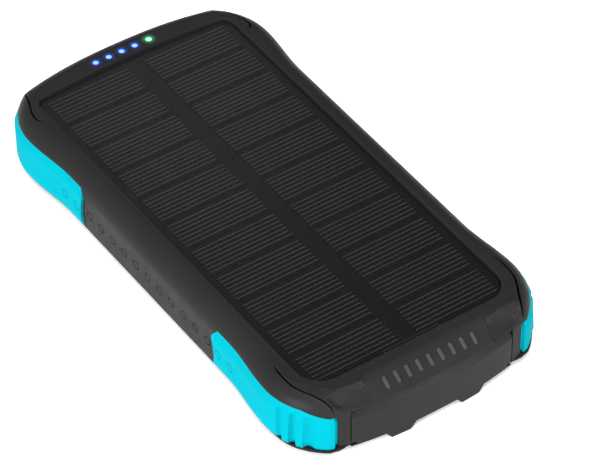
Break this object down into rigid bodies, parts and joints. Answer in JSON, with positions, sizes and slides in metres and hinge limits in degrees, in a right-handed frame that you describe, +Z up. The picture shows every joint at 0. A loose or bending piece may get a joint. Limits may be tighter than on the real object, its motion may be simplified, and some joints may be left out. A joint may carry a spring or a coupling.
{
  "type": "solar phone charger",
  "caption": "Rugged pocket battery pack with a solar panel on top, rubber corner bumpers, indicator lights and a hinged flap over its charging sockets.",
  "frame": {"origin": "middle of the footprint, on the plane that the feet stand on", "axes": "+Z up through the solar panel, +Y along the length towards the indicator lights, -Y towards the sockets, +X towards the power button"},
  "size_m": [0.0846, 0.1626, 0.0207],
  "materials": {
    "shell_black": "soft-touch matt",
    "cover_black": "fine textured matt",
    "bumper_turquoise": "satin elastomer",
    "gasket_grey": "matt",
    "foot_rubber": "matt",
    "screw_steel": "satin",
    "socket_steel": "satin nickel",
    "panel_tape": "matt foam tape",
    "panel_backing": "black laminate",
    "solar_cell": "dark silicon",
    "panel_resin": "clear glossy resin",
    "wire_red": "gloss",
    "pouch_foil": "satin foil",
    "foam_grey": "foam",
    "circuit_board": "solder mask",
    "chip_black": "matt epoxy",
    "inductor_grey": "matt ferrite",
    "insert_white": "satin",
    "insert_black": "satin",
    "led_white": "gloss",
    "flex_copper": "satin film",
    "lens_blue": "lit lens",
    "lens_green": "lit lens",
    "flap_black": "soft matt",
    "button_black": "soft matt",
    "plunger_red": "satin"
  },
  "bodies": {
    "case": {"top_case": "shell_black", "rear_cover": "cover_black", "case_gasket": "gasket_grey", "case_screws": "screw_steel", "rubber_feet": "foot_rubber", "bumper_near_left": "bumper_turquoise", "bumper_near_right": "bumper_turquoise", "bumper_far_left": "bumper_turquoise", "bumper_far_right": "bumper_turquoise", "panel_tape": "panel_tape", "panel_board": "panel_backing", "solar_cells": "solar_cell", "panel_cover": "panel_resin", "panel_leads": "wire_red", "battery_upper": "pouch_foil", "battery_lower": "pouch_foil", "battery_foam": "foam_grey", "battery_protection_board": "circuit_board", "battery_leads": "wire_red", "main_board": "circuit_board", "board_chips": "chip_black", "power_inductor": "inductor_grey", "port_frame": "shell_black", "usb_a_shell_left": "socket_steel", "usb_a_shell_right": "socket_steel", "usb_a_inserts": "insert_white", "usb_c_shell": "socket_steel", "usb_c_insert": "insert_black", "micro_usb_shell": "socket_steel", "micro_usb_insert": "insert_black", "led_board": "circuit_board", "led_chips": "led_white", "led_cable": "flex_copper", "indicator_lenses_blue": "lens_blue", "indicator_lens_green": "lens_green", "flap_hinge_pin": "screw_steel", "button_switch": "chip_black", "button_board": "circuit_board"},
    "flap": {"port_flap": "flap_black", "flap_seal": "gasket_grey"},
    "button": {"power_button": "button_black", "switch_plunger": "plunger_red"}
  },
  "joints": [
    {"name": "flap_hinge", "type": "hinge", "parent": "case", "child": "flap", "pos_m": [0, -0.0787, 0.0033], "axis": [1, 0, 0], "range_deg": [0, 95]},
    {"name": "button_press", "type": "slide", "parent": "case", "child": "button", "axis": [-1, 0, 0], "range_m": [0, 0.0006], "stiffness_N_per_m": 1200}
  ]
}
